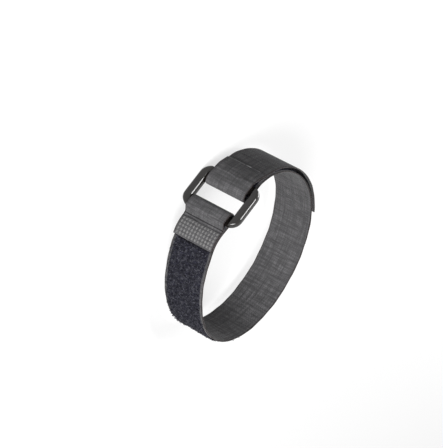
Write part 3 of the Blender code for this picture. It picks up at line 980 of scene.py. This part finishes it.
def build_tubes(stem, paths, radius, sides, material):
    """Make pieces of thin tubes, split so that none passes the triangle limit."""
    each = paths.shape[1] * sides * 2
    parts = math.ceil(len(paths) * each / MAX_PIECE_TRIANGLES)
    made = []
    for number, chunk in enumerate(np.array_split(paths, parts), 1):
        points, faces = tube_arrays(chunk, radius, sides)
        name = stem if parts == 1 else f"{stem}_{number}"
        piece = make_mesh(name, points, faces)
        piece.data.materials.append(material)
        made.append(piece)
    return made


def waffle_rings(route, tape):
    """Rings of points of the waffle: a thin slab on the weld whose top rises into pads.

    A pad's height is the product of two flattened cosines, one along and one across, and a
    small pit lies where four pads meet. The last array is the tone, painted shade that is darkest
    in the pits and lightest on the pads.
    """
    shape = route.shape
    half = TAPE_HALF_WIDTH - tape.pad_margin
    rows, columns = tape.pad_rows * PAD_STEPS[0] + 1, tape.pad_columns * PAD_STEPS[1] + 1
    along = np.linspace(tape.pad_end, shape.weld_length - tape.pad_margin, rows)
    across = np.linspace(-half, half, columns)
    u = (along - along[0]) / (along[-1] - along[0]) * tape.pad_rows
    v = (across + half) / (2 * half) * tape.pad_columns
    crest_u = -np.cos(2 * math.pi * u)
    crest_v = -np.cos(2 * math.pi * v)
    rise_u = smooth_step(crest_u, *PAD_FLANK_ALONG)[:, None]
    rise_v = smooth_step(crest_v, *PAD_FLANK_ACROSS)[None]
    pads = rise_u * rise_v
    pits = (1 - rise_u) * (1 - rise_v)
    surface = tape.thickness / 2 - tape.weld_squeeze
    top = surface + tape.pad_height * pads - PAD_PIT * pits
    under = np.full_like(top, surface - tape.ground / 2)
    height = np.concatenate([top, under[:, ::-1]], axis=1)
    width = np.broadcast_to(np.concatenate([across, across[::-1]]), height.shape)
    distance = np.broadcast_to(along[:, None], height.shape)
    points = route.whole.place(distance, width, height)
    # Painted shade by height: dark in the pits, mid in the grooves, none on the pads
    tone = 0.45 + 0.55 * pads - 0.4 * pits
    return points, np.stack([width, distance, height], axis=-1), np.concatenate([tone, 0 * tone], axis=1)


# Operators

def tie_route(scene):
    """The strap's route for the scene's sizes."""
    return StrapRoute(scene.tie_shape, scene.tie_tape)


class TIE_OT_mould_ring(bpy.types.Operator):
    """Make the moulded ring, finer than its solid"""

    bl_idname = "tie.mould_ring"
    bl_label = "Mould Ring"

    def execute(self, context):
        scene = context.scene
        points = ring_rings(scene.tie_ring, scene.tie_tape.layer_gap)
        piece = make_mesh("ring_moulded", points, closed_grid_faces(*points.shape[:2]))
        piece.data.materials.append(ring_material(scene.tie_colours))
        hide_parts("cinch_ring")
        return {"FINISHED"}


class TIE_OT_raise_pile(bpy.types.Operator):
    """Make the pile loops on the loop tape's outer face"""

    bl_idname = "tie.raise_pile"
    bl_label = "Raise Pile"

    def execute(self, context):
        route = tie_route(context.scene)
        tape, colours = route.tape, context.scene.tie_colours
        material = fibre_material("pile_loops", tuple(colours.fibre), tuple(colours.glint), 800.0, 0.6)
        rng = np.random.default_rng(11)
        half = TAPE_HALF_WIDTH - tape.selvage
        start = route.round_start
        cover = start + route.tail_end + COVER_START
        shown = (start + route.weld_far + WELD_CLEAR, cover, SHOWN_DENSITY)
        folded = (route.shape.weld_length + FOLD_CLEAR, start + route.weld_near, HIDDEN_DENSITY)
        covered = (cover, route.tape_end - tape.lap_length * 1.5, HIDDEN_DENSITY)
        root = tape.thickness / 2 - tape.ground - tape.mat + PILE_ROOT
        for stem, (low, high, density) in (("pile_shown", shown), ("pile_fold", folded),
                                           ("pile_covered", covered)):
            along, across = scatter(low, high, half, density / tape.tuft, rng)
            paths = pile_paths(route.whole, along, across, root, tape, rng)
            build_tubes(stem, paths, tape.loop_fibre, 3, material)
        return {"FINISHED"}


class TIE_OT_weld_fold(bpy.types.Operator):
    """Make the waffle weld and the melted edge of the lapped seam"""

    bl_idname = "tie.weld_fold"
    bl_label = "Weld Fold"

    def execute(self, context):
        route = tie_route(context.scene)
        tape, colours = route.tape, context.scene.tie_colours
        points, places, tones = waffle_rings(route, tape)
        waffle = make_mesh("weld_waffle", points, skin_faces(*points.shape[:2]),
                           places, tones)
        waffle.data.materials.append(weld_material(tape, colours))
        half = TAPE_HALF_WIDTH - tape.ground
        across = np.linspace(-half, half, 120)
        melted = smooth_step(across, -0.35 * half, -0.1 * half)
        ripple = 0.75 + 0.25 * np.sin(across / BEAD_SWELL_RUN)
        thickness = BEAD_RADIUS + BEAD_SWELL * melted * ripple
        height = tape.thickness / 2 + tape.lap_rise - BEAD_SINK
        along = route.tape_end - BEAD_SETBACK + BEAD_WANDER * np.sin(across / BEAD_WANDER_RUN)
        path = route.whole.place(along, across, np.full_like(across, height))[None]
        bead, faces = tube_arrays(path, thickness[None], 8)
        seam = make_mesh("seam_bead", bead, faces)
        seam.data.materials.append(fibre_material("seam_edge", tuple(colours.weave_shade),
                                                  tuple(colours.seam), 260.0, 0.6))
        return {"FINISHED"}


class TIE_OT_weave_loop_tape(bpy.types.Operator):
    """Make the loop tape: ground, selvages and pile mat, from the weld to the seam"""

    bl_idname = "tie.weave_loop_tape"
    bl_label = "Weave Loop Tape"

    def execute(self, context):
        route = tie_route(context.scene)
        tape, colours = route.tape, context.scene.tie_colours
        width = 2 * TAPE_HALF_WIDTH
        along, back, ground, mat, shade = loop_tape_stations(route)
        crease = route.tail_start + math.pi * route.turn + RING_BAR
        sag = tape.sag * np.exp(-((along - crease) / SAG_RUN) ** 2)
        points, places = tape_rings(route.whole, along, width / 2, back, ground, mat, tape, sag)
        # The shade array from the stations is painted shade, stored on the points
        piece = make_mesh("loop_tape_woven", points, skin_faces(*points.shape[:2]),
                          places, np.repeat(shade, points.shape[1]))
        paint_sides(piece, *points.shape[:2],
                    weave_material("woven_back", tape, colours, tuple(colours.weave),
                                   tuple(colours.weave_shade)),
                    pile_mat_material("pile_mat", tape, colours))
        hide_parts("loop_strap")
        on_it = [o.name for o in bpy.data.objects
                 if o.name.startswith(("pile_", "weld_waffle", "seam_bead"))]
        if not on_it:
            raise RuntimeError("the pile and the weld are made before the loop tape")
        return {"FINISHED"}


class TIE_OT_weave_hook_tape(bpy.types.Operator):
    """Make the tail's hook tape and its hooks"""

    bl_idname = "tie.weave_hook_tape"
    bl_label = "Weave Hook Tape"

    def execute(self, context):
        route = tie_route(context.scene)
        tape, colours = route.tape, context.scene.tie_colours
        width = 2 * TAPE_HALF_WIDTH
        lap = route.seam - tape.lap_length + tape.layer_gap
        clear = route.seam + tape.layer_gap
        end = route.tail.length
        along = np.append(np.arange(lap, end, tape.rib_pitch / STATIONS_PER_RIB), end)
        rise = smooth_step(along, clear - LAP_STEP, clear + LAP_STEP)
        low = tape.lap_thickness - tape.thickness / 2
        back = low + (tape.thickness - tape.lap_thickness) * rise
        ground = np.full_like(along, tape.ground * HOOK_GROUND_SHARE)
        mat = tape.mat * HOOK_MAT_SHARE * rise
        points, places = tape_rings(route.tail, along, width / 2, back, ground, mat, tape)
        # Painted shade in the lap, where the loop tape lies over the hook tape
        piece = make_mesh("hook_tape_woven", points, skin_faces(*points.shape[:2]),
                          places, np.repeat(0.15 * (1 - rise), points.shape[1]))
        paint_sides(piece, *points.shape[:2],
                    weave_material("hook_tape_back", tape, colours,
                                   tuple(0.9 * c for c in colours.weave), tuple(colours.weave_shade)),
                    pile_mat_material("hook_base", tape, colours))
        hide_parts("hook_tail")
        half = width / 2 - tape.selvage
        rows = np.arange(clear + HOOK_CLEAR, end - HOOK_END, tape.hook_pitch)
        columns = np.arange(-half + 0.0002, half, tape.hook_pitch * 0.8)
        row, column = np.meshgrid(rows, columns, indexing="ij")
        heading = np.where(np.arange(len(columns)) % 2, 1.0, -1.0) + 0 * row
        root = np.full(row.size, tape.thickness / 2 - tape.ground * HOOK_GROUND_SHARE)
        paths = hook_paths(route.tail, row.reshape(-1), column.reshape(-1), root,
                           heading.reshape(-1), tape)
        hooks = build_tubes("tail_hooks", paths, tape.hook_fibre, 4,
                            fibre_material("hook_moulding", tuple(colours.mat), tuple(colours.hook),
                                           900.0, 0.4))
        return {"FINISHED"}


def add_area_light(name, place, target, size, level):
    """Add a lamp whose level is the share of full light that it gives at the target."""
    lamp = bpy.data.lights.new(name, "AREA")
    lamp.shape = "RECTANGLE"
    lamp.size, lamp.size_y = size
    way = Vector(target) - Vector(place)
    lamp.energy = level * (math.pi * way.length) ** 2
    back = -way.normalized()
    side = Vector((1.0, 0.0, 0.0)).cross(back).normalized().cross(back)
    turn = Matrix((-side, back.cross(-side), back)).transposed().to_4x4()
    made = bpy.data.objects.new(name, lamp)
    made.matrix_world = Matrix.Translation(place) @ turn
    bpy.context.scene.collection.objects.link(made)


def set_camera(stage):
    """The camera round the loop's centre, rolled, and aimed a little off the centre."""
    centre = Vector(LOOP_CENTRE)
    a, e = stage.azimuth, stage.elevation
    back = Vector((math.sin(a) * math.cos(e), -math.cos(a) * math.cos(e), math.sin(e)))
    right = Vector((math.cos(a), math.sin(a), 0.0))
    up = back.cross(right)
    rolled_right = math.cos(stage.roll) * right + math.sin(stage.roll) * up
    rolled_up = -math.sin(stage.roll) * right + math.cos(stage.roll) * up
    place = centre + back * stage.distance
    aim = centre - rolled_right * stage.aim_left + rolled_up * stage.aim_up
    forward = (aim - place).normalized()
    true_right = forward.cross(rolled_up).normalized()
    true_up = true_right.cross(forward)
    camera = bpy.data.cameras.new("camera")
    camera.lens = stage.lens
    made = bpy.data.objects.new("camera", camera)
    turn = Matrix((true_right, true_up, -forward)).transposed().to_4x4()
    made.matrix_world = Matrix.Translation(place) @ turn
    bpy.context.scene.collection.objects.link(made)
    bpy.context.scene.camera = made


def set_world(level):
    """A plain white world: its level lights the object, and the camera and gloss see white."""
    world = bpy.data.worlds.new("studio_white")
    world.use_nodes = True
    tree = world.node_tree
    path = add_node(tree, "ShaderNodeLightPath")
    seen = math_node(tree, "MAXIMUM", path.outputs["Is Camera Ray"], path.outputs["Is Glossy Ray"])
    seen = math_node(tree, "MAXIMUM", seen, path.outputs["Is Transmission Ray"])
    background = tree.nodes["Background"]
    background.inputs["Color"].default_value = (1.0, 1.0, 1.0, 1.0)
    strength = math_node(tree, "MAXIMUM", seen, level)
    tree.links.new(strength, background.inputs["Strength"])
    bpy.context.scene.world = world


class TIE_OT_set_stage(bpy.types.Operator):
    """Make the floor, the lamps, the world and the camera"""

    bl_idname = "tie.set_stage"
    bl_label = "Set Stage"

    def execute(self, context):
        colours, stage = context.scene.tie_colours, context.scene.tie_stage
        half = stage.floor_size / 2
        corners = np.array([[-half, -half, 0.0], [half, -half, 0.0], [half, half, 0.0], [-half, half, 0.0]])
        mesh = bpy.data.meshes.new("studio_floor")
        mesh.from_pydata(corners.tolist(), [], [(0, 1, 2, 3)])
        floor = bpy.data.objects.new("studio_floor", mesh)
        mesh.materials.append(floor_material(colours))
        context.scene.collection.objects.link(floor)
        centre = Vector(LOOP_CENTRE)
        for name, offset, size, level in LAMPS:
            add_area_light(name, centre + Vector(offset), centre, size, getattr(stage, level))
        set_world(stage.sky)
        set_camera(stage)
        context.scene.view_settings.view_transform = "Standard"
        return {"FINISHED"}


class VIEW3D_PT_tie(bpy.types.Panel):
    """Sizes, colours and steps of the cable tie"""

    bl_label = "Cable Tie"
    bl_space_type = "VIEW_3D"
    bl_region_type = "UI"
    bl_category = "Cable Tie"

    def draw(self, context):
        layout = self.layout
        for step in STEPS:
            layout.operator(step.bl_idname)
        for title, group in (("Route", context.scene.tie_shape), ("Tapes", context.scene.tie_tape),
                             ("Ring", context.scene.tie_ring), ("Colours", context.scene.tie_colours),
                             ("Stage", context.scene.tie_stage)):
            box = layout.box()
            box.label(text=title)
            for name in group.bl_rna.properties.keys():
                if name not in ("rna_type", "name"):
                    box.prop(group, name)


STEPS = (TIE_OT_mould_ring, TIE_OT_raise_pile, TIE_OT_weld_fold, TIE_OT_weave_loop_tape,
         TIE_OT_weave_hook_tape, TIE_OT_set_stage)
GROUPS = {"tie_shape": TieLoopShape, "tie_tape": TieTapeSizes, "tie_ring": TieRingSizes,
          "tie_colours": TieColours, "tie_stage": TieStage}


def register():
    """Register the classes and hang the property groups on the scene."""
    for group in (*GROUPS.values(), *STEPS, VIEW3D_PT_tie):
        bpy.utils.register_class(group)
    for name, group in GROUPS.items():
        setattr(bpy.types.Scene, name, PointerProperty(type=group))


def unregister():
    """Take the property groups off the scene and unregister the classes."""
    for name in GROUPS:
        delattr(bpy.types.Scene, name)
    for group in (VIEW3D_PT_tie, *reversed(STEPS), *reversed(GROUPS.values())):
        bpy.utils.unregister_class(group)


def main():
    """Build every piece in order."""
    register()
    bpy.ops.tie.mould_ring()
    bpy.ops.tie.raise_pile()
    bpy.ops.tie.weld_fold()
    bpy.ops.tie.weave_loop_tape()
    bpy.ops.tie.weave_hook_tape()
    bpy.ops.tie.set_stage()
    bpy.context.view_layer.update()


if __name__ == "__main__":
    main()
